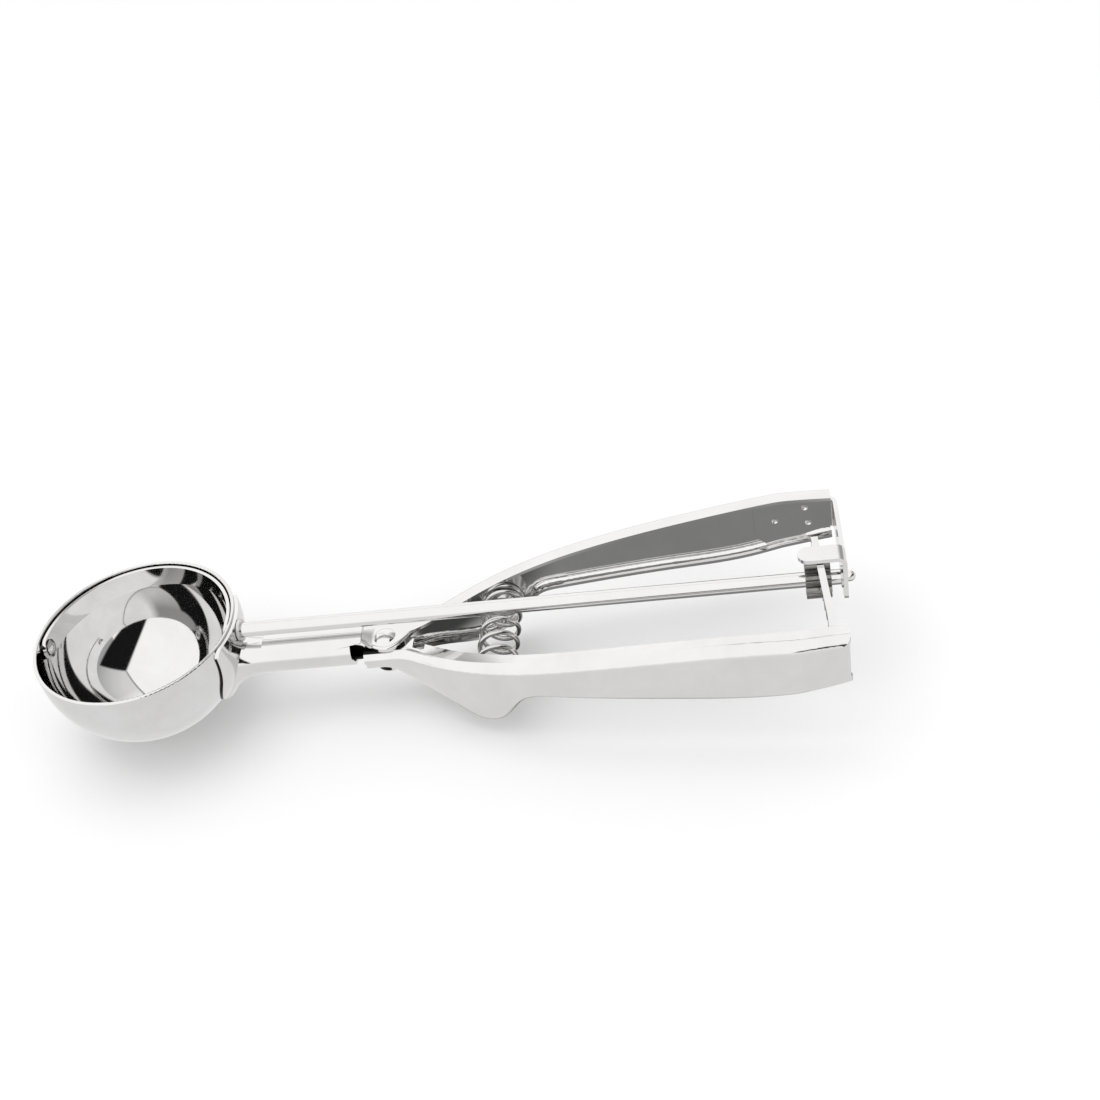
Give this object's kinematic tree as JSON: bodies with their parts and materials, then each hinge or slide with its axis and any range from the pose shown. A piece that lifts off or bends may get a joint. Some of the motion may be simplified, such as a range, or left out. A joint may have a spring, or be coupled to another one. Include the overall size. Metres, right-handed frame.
{
  "type": "lever ice cream scoop",
  "caption": "Stainless steel squeeze-handle ice cream scoop: a round bowl with a scraper blade on a long rod, turned half a turn by a sprung lever through a rack and pinion.",
  "frame": {"origin": "middle of the bounding box's footprint, level with the lowest point of the bowl", "axes": "+X from the bowl to the handles along the rod, +Z out of the bowl's mouth, +Y to the fixed handle's side"},
  "size_m": [0.2265, 0.0622, 0.0373],
  "materials": {
    "polished_steel": "polished stainless sheet",
    "bowl_steel": "mirror-polished drawn stainless",
    "ground_steel": "ground and satin",
    "spring_steel": "bright drawn wire"
  },
  "bodies": {
    "frame": {"bowl": "bowl_steel", "neck": "polished_steel", "rod_bush": "ground_steel", "blade_pivot_pin": "ground_steel", "thrust_washer": "ground_steel", "upper_handle": "polished_steel", "pivot_rivet": "polished_steel", "pivot_spacer": "ground_steel", "pivot_washers": "ground_steel", "bearing_bracket": "polished_steel", "spring": "spring_steel", "upper_spring_seat": "ground_steel"},
    "lever": {"lower_handle": "polished_steel", "rack": "ground_steel", "lower_spring_seat": "ground_steel"},
    "sweep": {"rod": "polished_steel", "pinion": "ground_steel", "scraper_blade": "polished_steel"}
  },
  "joints": [
    {"name": "lever_squeeze", "type": "hinge", "parent": "frame", "child": "lever", "pos_m": [-0.01505, 0, 0.01675], "axis": [0, 0, 1], "range_deg": [0, 6.64], "stiffness_Nm_per_rad": 6.6, "springref_deg": -1.72, "deforming": ["spring"]},
    {"name": "rod_turn", "type": "hinge", "parent": "frame", "child": "sweep", "pos_m": [0, 0, 0.0285], "axis": [1, 0, 0], "range_deg": [-180, 0]}
  ],
  "couplings": [
    {"joint": "rod_turn", "follows": "lever_squeeze", "ratio": -27.068}
  ]
}
